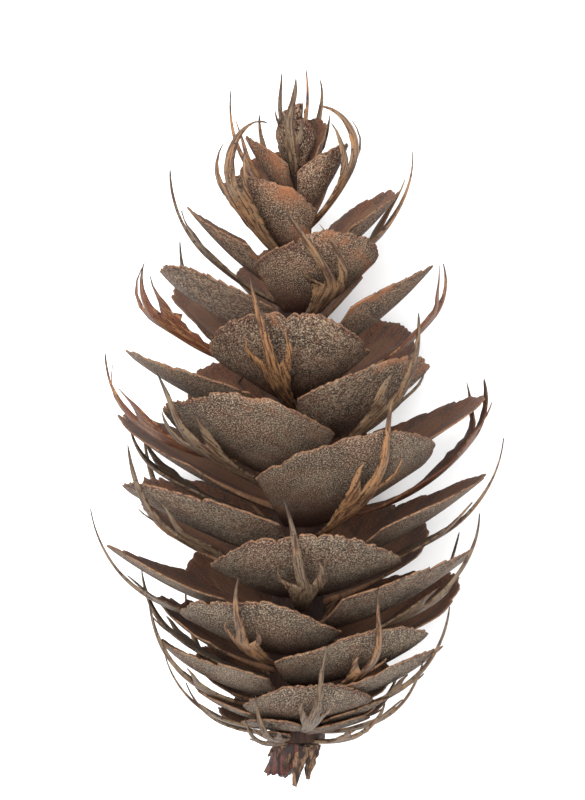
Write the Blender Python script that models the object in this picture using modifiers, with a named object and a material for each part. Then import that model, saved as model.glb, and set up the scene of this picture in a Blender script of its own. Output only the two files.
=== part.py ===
"""An opened Douglas fir cone lying on its side, with the broken stub of its stalk.

Woody scales stand round the cone's axis in the 5/13 spiral of a real cone, each with
its three-pointed bract against its outer face, and all of them grow out of the axis.
Metres, +Z up, +Y along the axis from the stalk to the tip, and the floor at Z = 0.
"""

import math
import random
from types import SimpleNamespace

import bmesh
import bpy
import numpy as np
from mathutils import Matrix, Vector

MM = 0.001
SAME = 0.01 * MM  # points nearer than this are one

# Where the cone lies: its axis is level, this far above the floor
AXIS_LEVEL = 20.7 * MM
AXIS_SIDE = -0.5 * MM
BASE_AT = -36.8 * MM
PRESSED = 0.4 * MM  # corners lower than this lie on the floor

# The spiral of the scales, counted from the stalk to the tip
SCALE_COUNT = 52
DIVERGENCE = math.radians(360 * 5 / 13)
FIRST_AZIMUTH = math.radians(-47.4)
SEED = 1307

# How the scales change from the stalk to the tip: the value at each of these scales.
# Lengths are in millimetres and angles in degrees away from the axis.
STATIONS = (0, 5, 10, 15, 20, 26, 34, 40, 46, 51)
CHART = {
    "height": (-0.1, 0.9, 2.3, 6.4, 12.4, 21.4, 36.4, 48.4, 62.0, 70.0),
    "length": (4.5, 8.5, 15.0, 19.0, 22.5, 23.8, 21.4, 17.6, 11.0, 4.5),
    "width": (5.0, 10.0, 17.5, 22.5, 24.0, 25.0, 22.5, 18.5, 11.5, 4.5),
    "root_open": (86, 90, 90, 84, 80, 74, 68, 64, 50, 14),
    "rim_open": (66, 58, 42, 43, 48, 48, 44, 40, 24, 4),
    "body": (4.0, 6.5, 10.5, 12.5, 15.0, 16.0, 14.4, 11.6, 8.0, 3.5),
    "awn": (6.0, 8.0, 11.5, 12.5, 13.4, 13.8, 12.8, 11.8, 9.5, 5.5),
    "awn_open": (30, 14, 8, 6, 6, 6, 6, 4, -12, -6),
    "trident": (2.2, 2.7, 3.2, 3.7, 4.4, 4.7, 4.5, 4.3, 3.8, 1.8),
    "lobe": (1.2, 1.8, 2.5, 2.8, 3.6, 4.4, 5.2, 5.4, 4.4, 1.0),
}
# What each scale may stray from the chart: degrees, degrees and a share of its size
STRAY_TURN, STRAY_OPEN, STRAY_SIZE = 3.0, 2.5, 0.04
# The scales that stray further: how far each is turned and opened, and its size. Of its
# bract: the size and width, how far it is opened and bent, the slant of its body and of
# its awn, how far the awn bends inward, how wide it is and how much is left of it
STRAYS = {
    0: {"turned": 14},
    2: {"turned": 11, "opened": -3, "size": 1.32, "bract_size": 1.25, "bract_wide": 1.2},
    7: {"opened": -2, "size": 0.96},
    8: {"size": 0.85, "bract_size": 0.85},
    10: {},
    11: {"opened": -3, "size": 0.82},
    12: {"turned": -26, "opened": -1, "size": 1.05},
    13: {"turned": -12, "opened": -1},
    15: {"turned": -1, "opened": -1, "bract_slant": -3, "awn_slant": -6},
    16: {"opened": -3, "size": 0.86, "awn_left": 0.7},
    18: {"turned": -3, "size": 0.96, "bract_slant": 0.5, "awn_slant": 9, "awn_left": 0.78},
    19: {"turned": -3, "opened": -1, "awn_left": 0.3},
    20: {"opened": -2},
    21: {"opened": 3},
    22: {"turned": 5, "opened": 2, "awn_left": 0.3},
    23: {"turned": -4, "opened": 3, "size": 1.02, "bract_slant": -1.5, "awn_slant": -8},
    25: {"turned": -8},
    26: {"turned": -3, "opened": 3, "size": 0.98},
    27: {"opened": -6, "size": 0.96, "awn_left": 0.25},
    28: {"turned": -8, "opened": -3, "size": 1.03},
    29: {"opened": 2, "awn_left": 0.5},
    30: {
        "turned": -20, "opened": 3, "size": 1.04, "bract_size": 1.4, "bract_wide": 1.6,
        "bract_opened": -4, "bract_bent": 18, "awn_bend": 20, "awn_left": 0.5,
    },
    31: {"turned": -8, "opened": 1, "size": 1.02, "bract_slant": -13, "awn_left": 0.8},
    32: {"turned": -3, "opened": 4, "awn_left": 0.3},
    33: {"turned": -17, "opened": -2, "size": 0.93, "bract_slant": -3},
    34: {
        "turned": 9, "opened": 6, "bract_size": 1.3, "bract_wide": 1.5,
        "bract_opened": 8, "bract_bent": 16, "awn_bend": 8, "awn_left": 0.7,
    },
    35: {"turned": 8, "opened": 7, "size": 1.06, "awn_left": 0.3},
    36: {"turned": -14, "opened": 2, "size": 1.02, "bract_slant": -5},
    38: {
        "turned": -8, "opened": -3, "bract_size": 1.3, "bract_wide": 1.6,
        "bract_opened": 3, "bract_bent": 12, "awn_bend": 20, "awn_left": 0.5,
    },
    39: {
        "turned": -12, "opened": 5, "size": 1.03, "bract_size": 1.45, "bract_wide": 1.4,
        "bract_opened": 5, "bract_bent": 8, "awn_bend": 20, "awn_left": 0.55,
    },
    41: {
        "turned": -18, "opened": 3, "bract_size": 0.82, "bract_slant": 5,
        "awn_slant": -38, "awn_left": 0.9,
    },
    42: {"turned": 16, "opened": 3},
    43: {"turned": -18, "opened": 4, "size": 1.03},
    44: {
        "turned": -14, "opened": 4, "size": 1.02, "bract_size": 1.5,
        "awn_bend": 100, "awn_wide": 1.3, "awn_left": 1.2,
    },
    46: {
        "opened": -4, "size": 0.9, "bract_size": 1.05, "bract_wide": 1.2,
        "awn_bend": 72, "awn_wide": 1.5,
    },
    47: {"opened": 4, "size": 0.95},
    49: {"turned": -18, "opened": 4, "size": 0.95, "awn_bend": 6, "awn_wide": 1.7},
}

# The axis that everything grows from, with its radius from the base to the tip
AXIS_FOOT, AXIS_LENGTH = -0.9 * MM, 72.0 * MM
AXIS_RADII = (3.3 * MM, 3.0 * MM, 2.4 * MM, 1.1 * MM)
AXIS_SIDES = 8
SUNK = 1.3 * MM  # how deep the roots go into it

# The outline of a scale: a claw, a widest level and a round top, in shares of its size
CLAW_SHARE = 0.16
WIDEST_AT = 0.64
TOP_ARC = math.radians(74)
CUP = 0.95  # radius of the cross curve over the distance from the axis
SCALE_COLUMNS, SCALE_ROWS = 6, 3
SMALL_SCALE, SMALL_COLUMNS = 19 * MM, 4  # narrower than this, it has fewer columns
SCALE_THICK = 0.70 * MM

# A bract: a strip with three points, of which the middle one is the long awn
BRACT_THICK = 0.60 * MM
BRACT_BELOW = 0.30 * MM  # under the root of its scale, for each mm of its width
BODY_ROWS, AWN_ROWS = 2, 2
ROOT_SHARE = 0.30  # width of a bract at its root over that at its points
BODY_FLARE = 2.5  # how late it widens between the two
BODY_OPENS = 4.5  # degrees further out than the scale
BEND_BACK = 0.20  # share of the scale's own bend that its bract doesn't follow
LOBE_SPREAD = 1.1  # of the half width
AWN_SHARE = 0.34  # half width of the awn's root over that of the body

# The broken stalk: a stub that leans to the side, with three torn strips of bark
STALK_GAP = 0.3 * MM
STALK_LENGTH, STALK_LEAN = 4.6 * MM, math.radians(-32)
STALK_TOP_RADIUS, STALK_END_RADIUS = 2.5 * MM, 1.4 * MM
STALK_SIDES, STALK_ROUGH = 9, 0.12
END_SLOPE, END_ROUGH = 0.35, 0.3 * MM  # of the stalk's broken end
# Each strip: how far round the stalk its root is (degrees), its length and its own lean
STRIPS = ((75, 4.3 * MM, -8), (20, 5.0 * MM, -12), (215, 3.4 * MM, -26))
STRIP_RADII = (1.15 * MM, 0.3 * MM)
STRIP_FLAT = 0.6
STRIP_BELOW = 0.25 * MM  # from the top of the stalk

SCALE_COLOUR = (0.145, 0.108, 0.082, 1.0)
STALK_COLOUR = (0.120, 0.050, 0.030, 1.0)


def clear_scene():
    for obj in list(bpy.data.objects):
        bpy.data.objects.remove(obj)


def new_collection(name):
    collection = bpy.data.collections.new(name)
    bpy.context.scene.collection.children.link(collection)
    return collection


def material(name, colour, roughness):
    mat = bpy.data.materials.new(name)
    mat.use_nodes = True
    shader = mat.node_tree.nodes["Principled BSDF"]
    shader.inputs["Base Color"].default_value = colour
    shader.inputs["Roughness"].default_value = roughness
    return mat


def add_mesh(name, bm, collection, mat=None):
    """A new object from a bmesh, which is freed."""
    bmesh.ops.recalc_face_normals(bm, faces=bm.faces)
    if bm.calc_volume(signed=True) < 0:
        bmesh.ops.reverse_faces(bm, faces=bm.faces)
    mesh = bpy.data.meshes.new(name)
    bm.to_mesh(mesh)
    bm.free()
    if mat is not None:
        mesh.materials.append(mat)
    obj = bpy.data.objects.new(name, mesh)
    collection.objects.link(obj)
    return obj


def axis_radius(height):
    """Radius of the axis at this height above the base."""
    stations = np.linspace(0, AXIS_LENGTH, len(AXIS_RADII))
    return float(np.interp(height, stations, AXIS_RADII))


def growth(index):
    """Where a scale and its bract grow, and their sizes, in metres and radians."""
    draw = random.Random(SEED + index)
    chart = {name: float(np.interp(index, STATIONS, row)) for name, row in CHART.items()}
    stray = STRAYS.get(index)
    if stray is None:
        stray = {
            "turned": draw.uniform(-STRAY_TURN, STRAY_TURN),
            "opened": draw.uniform(-STRAY_OPEN, STRAY_OPEN),
            "size": 1 + draw.uniform(-STRAY_SIZE, STRAY_SIZE),
        }
    opened = stray.get("opened", 0)
    size = stray.get("size", 1)
    height = chart["height"] * MM
    trident = chart["trident"] * stray.get("bract_wide", 1)
    apart, bent = stray.get("bract_opened", 0), stray.get("bract_bent", 0)
    back = BEND_BACK * (chart["root_open"] - chart["rim_open"])
    return SimpleNamespace(
        azimuth=FIRST_AZIMUTH - index * DIVERGENCE + math.radians(stray.get("turned", 0)),
        height=height,
        radius=axis_radius(height) - SUNK,
        length=chart["length"] * size * MM + SUNK,
        width=chart["width"] * size * MM,
        root_open=math.radians(chart["root_open"] + opened),
        rim_open=math.radians(chart["rim_open"] + opened),
        body=chart["body"] * stray.get("bract_size", 1) * MM + SUNK,
        awn=chart["awn"] * stray.get("awn_left", 1) * MM,
        awn_open=math.radians(chart["awn_open"] + opened / 2 - stray.get("awn_bend", 0)),
        trident=trident * MM,
        lobe=chart["lobe"] * MM,
        below=BRACT_BELOW * trident,
        body_root_open=math.radians(chart["root_open"] + opened + BODY_OPENS + apart + bent),
        body_end_open=math.radians(chart["rim_open"] + opened + BODY_OPENS + apart - bent + back),
        bract_slant=math.tan(math.radians(stray.get("bract_slant", 0))),
        awn_slant=math.tan(math.radians(stray.get("awn_slant", 0))),
        awn_share=AWN_SHARE * stray.get("awn_wide", 1),
    )


def along_arc(radius, height, length, start, end, share):
    """Radius and height at a share of an arc that turns evenly from start to end."""
    turn = end - start
    here = start + turn * share
    if abs(turn) < 1e-6:
        reach = length * share
        return radius + reach * math.sin(start), height + reach * math.cos(start)
    bend = length / turn
    return (
        radius + bend * (math.cos(start) - math.cos(here)),
        height + bend * (math.sin(here) - math.sin(start)),
    )


def in_cone(azimuth, across, outward, height):
    """A point of the lying cone, from its place beside a radial line of the axis."""
    return Vector(
        (
            AXIS_SIDE + across * math.cos(azimuth) + outward * math.sin(azimuth),
            BASE_AT + height,
            AXIS_LEVEL - across * math.sin(azimuth) + outward * math.cos(azimuth),
        )
    )


def above_floor(point, thick):
    """The point, or the one above it where a blade of this thickness lies on the floor."""
    return Vector((point.x, point.y, max(point.z, thick / 2)))


def scale_point(g, across, row):
    """A point of a scale's middle surface: across is -1 to 1, row is 0 root to 1 rim."""
    slant = across * TOP_ARC
    rounding = (math.cos(slant) - math.cos(TOP_ARC)) / (1 - math.cos(TOP_ARC))
    beside = math.sin(slant) / math.sin(TOP_ARC) * g.width / 2
    beside *= CLAW_SHARE + (1 - CLAW_SHARE) * row
    share = row * (WIDEST_AT + (1 - WIDEST_AT) * rounding * row)
    radius, height = along_arc(
        g.radius, g.height, g.length, g.root_open, g.rim_open, share
    )
    cup = CUP * radius
    return in_cone(
        g.azimuth,
        cup * math.sin(beside / cup),
        radius - cup * (1 - math.cos(beside / cup)),
        height,
    )


def bract_point(g, beside, reach):
    """A point of a bract's middle surface, from its distances beside and along its line."""
    radius, height = along_arc(
        g.radius,
        g.height - g.below,
        g.body,
        g.body_root_open,
        g.body_end_open,
        min(reach / g.body, 1.0),
    )
    if reach > g.body:
        radius, height = along_arc(
            radius, height, g.awn, g.body_end_open, g.awn_open, (reach - g.body) / g.awn
        )
    beside += g.bract_slant * reach + g.awn_slant * max(0.0, reach - g.body)
    return in_cone(g.azimuth, beside, radius, height)


def build_axis(collection, mat):
    """The axis as a turned shape, closed at both ends."""
    profile = bmesh.new()
    heights = np.linspace(AXIS_LENGTH, AXIS_FOOT, len(AXIS_RADII) + 1)
    outline = [(0.0, AXIS_LENGTH)]
    outline += [(axis_radius(height), height) for height in heights]
    outline += [(0.0, heights[-1])]
    points = [profile.verts.new((radius, 0.0, height)) for radius, height in outline]
    for first, second in zip(points, points[1:]):
        profile.edges.new((first, second))
    obj = add_mesh("cone", profile, collection, mat)
    screw = obj.modifiers.new("turned", "SCREW")
    screw.steps = screw.render_steps = AXIS_SIDES
    screw.use_merge_vertices = True
    screw.merge_threshold = 0.0001
    obj.rotation_euler = (-math.pi / 2, 0, 0)
    obj.location = (AXIS_SIDE, BASE_AT, AXIS_LEVEL)
    return obj


def thicken(obj, thick):
    """Gives an open surface its thickness, half to each side."""
    solidify = obj.modifiers.new("thickness", "SOLIDIFY")
    solidify.thickness = thick
    solidify.offset = 0


def build_scale(index, collection):
    """One woody scale: a flat grid, shaped by the outline and cup of a scale."""
    g = growth(index)
    columns = SMALL_COLUMNS if g.width < SMALL_SCALE else SCALE_COLUMNS
    bm = bmesh.new()
    bmesh.ops.create_grid(bm, x_segments=columns, y_segments=SCALE_ROWS, size=1)
    for vert in bm.verts:
        point = scale_point(g, vert.co.x, (vert.co.y + 1) / 2)
        vert.co = above_floor(point, SCALE_THICK)
    obj = add_mesh(f"scale_{index:02d}", bm, collection)
    thicken(obj, SCALE_THICK)


def draw_out(bm, edge, ends):
    """Extrudes an edge through pairs of end points. The last pair may be one point."""
    for first, second in ends:
        made = bmesh.ops.extrude_edge_only(bm, edges=[edge])["geom"]
        verts = [item for item in made if isinstance(item, bmesh.types.BMVert)]
        verts.sort(key=lambda vert: vert.co.x)
        verts[0].co, verts[1].co = first, second
        edge = bm.edges.get(verts)


def build_bract(index, collection):
    """One bract: a strip as wide as its trident, whose end is drawn out into 3 points."""
    g = growth(index)
    half = g.trident / 2
    inner = half * g.awn_share
    bm = bmesh.new()
    bmesh.ops.create_grid(bm, x_segments=3, y_segments=BODY_ROWS, size=1)
    # The flat pattern: x beside the line, y along it
    for vert in bm.verts:
        row = (vert.co.y + 1) / 2
        narrow = ROOT_SHARE + (1 - ROOT_SHARE) * row**BODY_FLARE
        side = math.copysign(half if abs(vert.co.x) > 0.5 else inner, vert.co.x)
        vert.co = (side * narrow, row * g.body, 0)
    bm.verts.ensure_lookup_table()
    end_edges = [e for e in bm.edges if all(v.co.y > g.body - SAME for v in e.verts)]
    end_edges.sort(key=lambda e: sum(v.co.x for v in e.verts))
    for edge, side in ((end_edges[0], -1), (end_edges[2], 1)):
        tip = Vector((side * half * LOBE_SPREAD, g.body + g.lobe, 0))
        draw_out(bm, edge, [(tip, tip)])
    steps = [(row + 1) / AWN_ROWS for row in range(AWN_ROWS)]
    awn = [
        (
            Vector((-inner * (1 - step), g.body + step * g.awn, 0)),
            Vector((inner * (1 - step), g.body + step * g.awn, 0)),
        )
        for step in steps
    ]
    draw_out(bm, end_edges[1], awn)
    bmesh.ops.remove_doubles(bm, verts=bm.verts, dist=SAME)
    for vert in bm.verts:
        point = bract_point(g, vert.co.x, vert.co.y)
        vert.co = above_floor(point, BRACT_THICK)
    obj = add_mesh(f"bract_{index:02d}", bm, collection)
    thicken(obj, BRACT_THICK)


def join_all(target, others):
    """Fuses a collection's objects into the target, and removes them."""
    union = target.modifiers.new("grown_together", "BOOLEAN")
    union.operation = "UNION"
    union.operand_type = "COLLECTION"
    union.collection = others
    union.solver = "MANIFOLD"
    apply_modifiers(target)
    for obj in list(others.objects):
        bpy.data.objects.remove(obj)
    bpy.data.collections.remove(others)


def apply_modifiers(obj):
    """Replaces the object's mesh by its evaluated one."""
    bpy.context.view_layer.update()
    evaluated = obj.evaluated_get(bpy.context.evaluated_depsgraph_get())
    mesh = bpy.data.meshes.new_from_object(evaluated)
    obj.modifiers.clear()
    obj.data = mesh


def press_flat(obj):
    """Sets the lowest corners of the rims on the floor, where they make flat spots."""
    for vert in obj.data.vertices:
        place = obj.matrix_world @ vert.co
        if place.z < PRESSED:
            place.z = 0.0
            vert.co = obj.matrix_world.inverted() @ place


def build_cone(collection):
    """The axis with every scale and bract fused to it."""
    wood = material("scale_wood", SCALE_COLOUR, 0.85)
    cone = build_axis(collection, wood)
    blades = new_collection("blades")
    for index in range(SCALE_COUNT):
        build_scale(index, blades)
        build_bract(index, blades)
    join_all(cone, blades)
    press_flat(cone)
    return cone


def build_stalk(collection):
    """The broken stub of the stalk, and the strips of bark that are left on it."""
    bark = material("stalk_bark", STALK_COLOUR, 0.7)
    draw = random.Random(SEED)
    top = AXIS_FOOT - STALK_GAP
    stub = bmesh.new()
    bmesh.ops.create_cone(
        stub,
        segments=STALK_SIDES,
        cap_ends=True,
        radius1=STALK_END_RADIUS,
        radius2=STALK_TOP_RADIUS,
        depth=STALK_LENGTH,
    )
    bmesh.ops.translate(stub, verts=stub.verts, vec=(0, 0, -STALK_LENGTH / 2))
    for vert in stub.verts:
        rough = 1 + draw.uniform(-STALK_ROUGH, STALK_ROUGH)
        vert.co.x *= rough
        vert.co.y *= rough
        if vert.co.z < -STALK_LENGTH / 2:  # the broken end slopes
            vert.co.z += END_SLOPE * vert.co.x + draw.uniform(-END_ROUGH, END_ROUGH)
    # Lean, then lay the stub along -Y under the foot of the axis
    bmesh.ops.rotate(stub, verts=stub.verts, matrix=Matrix.Rotation(-STALK_LEAN, 3, "Y"))
    for vert in stub.verts:
        vert.co = in_cone(0, vert.co.x, vert.co.y, top + min(vert.co.z, 0))
    stalk = add_mesh("stalk", stub, collection, bark)

    strips = new_collection("strips")
    for number, (around, length, lean) in enumerate(STRIPS):
        strip = bmesh.new()
        bmesh.ops.create_cone(
            strip,
            segments=6,
            cap_ends=True,
            radius1=STRIP_RADII[1],
            radius2=STRIP_RADII[0],
            depth=length,
        )
        bmesh.ops.translate(strip, verts=strip.verts, vec=(0, 0, -length / 2))
        bmesh.ops.scale(strip, verts=strip.verts, vec=(1, STRIP_FLAT, 1))
        turn = math.radians(around)
        lean_turn = Matrix.Rotation(math.radians(-lean), 3, "Y")
        bmesh.ops.rotate(strip, verts=strip.verts, matrix=lean_turn)
        out = STALK_TOP_RADIUS - STRIP_RADII[0] / 2
        for vert in strip.verts:
            across, outward = vert.co.x + out * math.sin(turn), vert.co.y + out * math.cos(turn)
            vert.co = in_cone(0, across, outward, top + min(vert.co.z, 0) - STRIP_BELOW)
        add_mesh(f"strip_{number}", strip, strips)
    join_all(stalk, strips)
    return stalk


def main():
    clear_scene()
    collection = new_collection("douglas_fir_cone")
    build_cone(collection)
    build_stalk(collection)


if __name__ == "__main__":
    main()
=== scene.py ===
"""The look of an opened Douglas fir cone that lies on its side, with its broken stalk.

Each scale and each bract is a piece of its own, shaped by the same growth as the solids:
52 woody scales in a 5/13 spiral, and under each a three-pointed bract with a long awn.
Metres, +Z up, +Y from the stalk to the tip.
"""

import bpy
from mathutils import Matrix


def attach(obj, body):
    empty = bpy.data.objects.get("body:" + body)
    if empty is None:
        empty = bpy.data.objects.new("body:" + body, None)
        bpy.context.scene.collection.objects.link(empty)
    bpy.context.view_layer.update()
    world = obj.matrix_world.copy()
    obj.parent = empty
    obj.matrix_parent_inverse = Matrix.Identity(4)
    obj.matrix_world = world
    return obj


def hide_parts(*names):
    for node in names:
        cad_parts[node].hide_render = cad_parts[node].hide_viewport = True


bl_info = {
    "name": "Douglas fir cone",
    "version": (1, 0, 0),
    "blender": (4, 5, 0),
    "location": "3D View > Sidebar > Fir cone",
    "description": "Grows an opened Douglas fir cone, scale by scale, with its stage",
    "category": "Add Mesh",
}

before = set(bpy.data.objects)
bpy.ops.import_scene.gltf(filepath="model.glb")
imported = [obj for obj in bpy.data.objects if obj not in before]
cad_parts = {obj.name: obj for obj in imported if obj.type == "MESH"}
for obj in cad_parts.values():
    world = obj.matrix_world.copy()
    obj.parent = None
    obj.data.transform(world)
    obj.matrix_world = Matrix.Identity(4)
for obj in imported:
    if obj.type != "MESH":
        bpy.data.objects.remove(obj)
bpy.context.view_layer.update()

import math
import random
from types import SimpleNamespace

import bmesh
import bpy
import numpy as np
from bpy.props import FloatProperty, FloatVectorProperty, PointerProperty
from mathutils import Color, Matrix, Vector, noise

MM = 0.001

# Where the cone lies: its axis is level, this far above the floor
AXIS_LEVEL = 20.7 * MM
AXIS_SIDE = -0.5 * MM
BASE_AT = -36.8 * MM

# The spiral of the scales, counted from the stalk to the tip
SCALE_COUNT = 52
DIVERGENCE = math.radians(360 * 5 / 13)
FIRST_AZIMUTH = math.radians(-47.4)
SEED = 1307

# How the scales change from the stalk to the tip: the value at each of these scales.
# Lengths are in millimetres and angles in degrees away from the axis.
STATIONS = (0, 5, 10, 15, 20, 26, 34, 40, 46, 51)
CHART = {
    "height": (-0.1, 0.9, 2.3, 6.4, 12.4, 21.4, 36.4, 48.4, 62.0, 70.0),
    "length": (4.5, 8.5, 15.0, 19.0, 22.5, 23.8, 21.4, 17.6, 11.0, 4.5),
    "width": (5.0, 10.0, 17.5, 22.5, 24.0, 25.0, 22.5, 18.5, 11.5, 4.5),
    "root_open": (86, 90, 90, 84, 80, 74, 68, 64, 50, 14),
    "rim_open": (66, 58, 42, 43, 48, 48, 44, 40, 24, 4),
    "body": (4.0, 6.5, 10.5, 12.5, 15.0, 16.0, 14.4, 11.6, 8.0, 3.5),
    "awn": (6.0, 8.0, 11.5, 12.5, 13.4, 13.8, 12.8, 11.8, 9.5, 5.5),
    "awn_open": (30, 14, 8, 6, 6, 6, 6, 4, -12, -6),
    "trident": (2.2, 2.7, 3.2, 3.7, 4.4, 4.7, 4.5, 4.3, 3.8, 1.8),
    "lobe": (1.2, 1.8, 2.5, 2.8, 3.6, 4.4, 5.2, 5.4, 4.4, 1.0),
}
# What each scale may stray from the chart: degrees, degrees and a share of its size
STRAY_TURN, STRAY_OPEN, STRAY_SIZE = 3.0, 2.5, 0.04
# The scales that stray further: how far each is turned and opened, and its size. Of its
# bract: the size and width, how far it is opened and bent, the slant of its body and of
# its awn, how far the awn bends inward, how wide it is and how much is left of it
STRAYS = {
    0: {"turned": 14},
    2: {"turned": 11, "opened": -3, "size": 1.32, "bract_size": 1.25, "bract_wide": 1.2},
    7: {"opened": -2, "size": 0.96},
    8: {"size": 0.85, "bract_size": 0.85},
    10: {},
    11: {"opened": -3, "size": 0.82},
    12: {"turned": -26, "opened": -1, "size": 1.05},
    13: {"turned": -12, "opened": -1},
    15: {"turned": -1, "opened": -1, "bract_slant": -3, "awn_slant": -6},
    16: {"opened": -3, "size": 0.86, "awn_left": 0.7},
    18: {"turned": -3, "size": 0.96, "bract_slant": 0.5, "awn_slant": 9, "awn_left": 0.78},
    19: {"turned": -3, "opened": -1, "awn_left": 0.3},
    20: {"opened": -2},
    21: {"opened": 3},
    22: {"turned": 5, "opened": 2, "awn_left": 0.3},
    23: {"turned": -4, "opened": 3, "size": 1.02, "bract_slant": -1.5, "awn_slant": -8},
    25: {"turned": -8},
    26: {"turned": -3, "opened": 3, "size": 0.98},
    27: {"opened": -6, "size": 0.96, "awn_left": 0.25},
    28: {"turned": -8, "opened": -3, "size": 1.03},
    29: {"opened": 2, "awn_left": 0.5},
    30: {
        "turned": -20, "opened": 3, "size": 1.04, "bract_size": 1.4, "bract_wide": 1.6,
        "bract_opened": -4, "bract_bent": 18, "awn_bend": 20, "awn_left": 0.5,
    },
    31: {"turned": -8, "opened": 1, "size": 1.02, "bract_slant": -13, "awn_left": 0.8},
    32: {"turned": -3, "opened": 4, "awn_left": 0.3},
    33: {"turned": -17, "opened": -2, "size": 0.93, "bract_slant": -3},
    34: {
        "turned": 9, "opened": 6, "bract_size": 1.3, "bract_wide": 1.5,
        "bract_opened": 8, "bract_bent": 16, "awn_bend": 8, "awn_left": 0.7,
    },
    35: {"turned": 8, "opened": 7, "size": 1.06, "awn_left": 0.3},
    36: {"turned": -14, "opened": 2, "size": 1.02, "bract_slant": -5},
    38: {
        "turned": -8, "opened": -3, "bract_size": 1.3, "bract_wide": 1.6,
        "bract_opened": 3, "bract_bent": 12, "awn_bend": 20, "awn_left": 0.5,
    },
    39: {
        "turned": -12, "opened": 5, "size": 1.03, "bract_size": 1.45, "bract_wide": 1.4,
        "bract_opened": 5, "bract_bent": 8, "awn_bend": 20, "awn_left": 0.55,
    },
    41: {
        "turned": -18, "opened": 3, "bract_size": 0.82, "bract_slant": 5,
        "awn_slant": -38, "awn_left": 0.9,
    },
    42: {"turned": 16, "opened": 3},
    43: {"turned": -18, "opened": 4, "size": 1.03},
    44: {
        "turned": -14, "opened": 4, "size": 1.02, "bract_size": 1.5,
        "awn_bend": 100, "awn_wide": 1.3, "awn_left": 1.2,
    },
    46: {
        "opened": -4, "size": 0.9, "bract_size": 1.05, "bract_wide": 1.2,
        "awn_bend": 72, "awn_wide": 1.5,
    },
    47: {"opened": 4, "size": 0.95},
    49: {"turned": -18, "opened": 4, "size": 0.95, "awn_bend": 6, "awn_wide": 1.7},
}

# The axis that everything grows from
AXIS_FOOT, AXIS_LENGTH = -0.9 * MM, 72.0 * MM
AXIS_RADII = (3.3 * MM, 3.0 * MM, 2.4 * MM, 1.1 * MM)
AXIS_RINGS, AXIS_SIDES = 60, 32
AXIS_ROUGH, AXIS_GRAIN = 0.10, 0.7 / MM  # share of its radius, and how fine it is
SUNK = 1.3 * MM  # how deep the roots go into it

# The outline of a scale: a claw, a widest level and a round top, in shares of its size
CLAW_SHARE = 0.16
WIDEST_AT = 0.64
TOP_ARC = math.radians(74)
CUP = 0.95  # radius of the cross curve over the distance from the axis
SCALE_COLUMNS, SCALE_ROWS = 88, 28
SMALL_SCALE = 12 * MM  # narrower than this, it has half the columns and rows
FULL_WIDTH = 20 * MM  # from this width on, a scale has all of its waves and wear
THINS = 1.6  # how soon a scale thins from its root to its rim
# The wear of a rim: how fine each wave of it is across the scale, and its share
WEAR_LEAST = 0.6
SLOW_WEAR, QUICK_WEAR, NIBBLES, TATTERS = (2.3, 1.0), (9.0, 0.45), (26.0, 0.7), (52.0, 0.7)
RIM_ONLY = 5  # how closely the wear keeps to the rim
# Notches in a rim: the fewest, and one more than the most. Of each, its place across the
# scale, its half width and its depth, in shares of the scale's size
NOTCHES_LEAST, NOTCHES_STOP = 2, 6
NOTCH_PLACE, NOTCH_HALF, NOTCH_DEPTH = (-0.95, 0.95), (0.03, 0.07), (0.01, 0.04)
# The waves of a scale's surface: how fine they are across and along it, and their share
SLOW_WAVE, QUICK_WAVE, RIBS = (1.25, 1.1, 1.5), (3.6, 2.1, 0.55), (11.0, 1.2, 0.10)
WAVE_VARIES = (0.6, 1.3)  # between these shares of the wave that is set
# The marks of two winged seeds on a scale's inner face, in shares of its size
WING_BESIDE, WING_HALF = 0.36, 0.30
WING_MIDDLE, WING_REACH = 0.50, 0.42

# A bract: a strip with three points, of which the middle one is the long awn
BRACT_BELOW = 0.30 * MM  # under the root of its scale, for each mm of its width
BODY_ROWS, LOBE_ROWS, AWN_ROWS = 26, 5, 18
BODY_OPENS = 4.5  # degrees further out than the scale
BEND_BACK = 0.20  # share of the scale's own bend that its bract doesn't follow
ROOT_SHARE = 0.30  # width of a bract at its root over that at its points
BODY_FLARE = 2.5  # how late it widens between the two
SLANT_BEGINS = 1.0 * MM  # how far past the body an awn takes up its slant
AWN_SHARE = 0.34  # half width of the awn's root over that of the body
AWN_TIP, AWN_TAPER = 0.06, 0.85  # share of that width at its tip, and how soon it is lost
AWN_RAGGED, AWN_WAVES = 0.18, 9  # share of its width, and how many waves of it
LOBE_BULGE = 0.22  # how far a side lobe swells, over half the width between the lobes
BODY_COLUMNS = 6  # two under each lobe and two under the awn
MERGED = 0.004 * MM  # points nearer than this become one
# How each bract may differ: sideways bend and sway of the awn in shares of its length,
# degrees of twist, height of the keel, and size and spread of the two side lobes
AWN_BEND, AWN_SWAY, AWN_TWIST = 0.10, 0.03, 28
SWAY_TURN = 6.0  # radians of the sway's wave along the awn
TWIST_LATE = 1.4  # how much of the twist comes near the tip
KEEL, LOBE_SIZE, LOBE_SPREAD = (0.12, 0.32), (0.75, 1.45), (0.8, 1.15)
CURL, CURL_LENGTH = 0.35, 6 * MM  # radians of a further slow twist, and its wave
KEEL_FADES, EDGE_THINS = 0.5, 0.55  # share of the keel lost at the tip, and of the edge
# The bracts that stand off the cone are dark and torn, and the lowest are the greyest
DARK_BRACTS = (30, 34, 38, 39)
DARK_TONE, LOW_TONE = -1.0, 0.7  # below zero is red-brown, and higher is greyer
RAGGED = (0.16, 0.30)  # share of a bract's width, and that of the dark ones
TEAR, FINE_TEAR = (1.0, 1.3), (2.0, 3.1)  # waves for each mm across and along
FINE_TEAR_SHARE = 0.7

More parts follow.
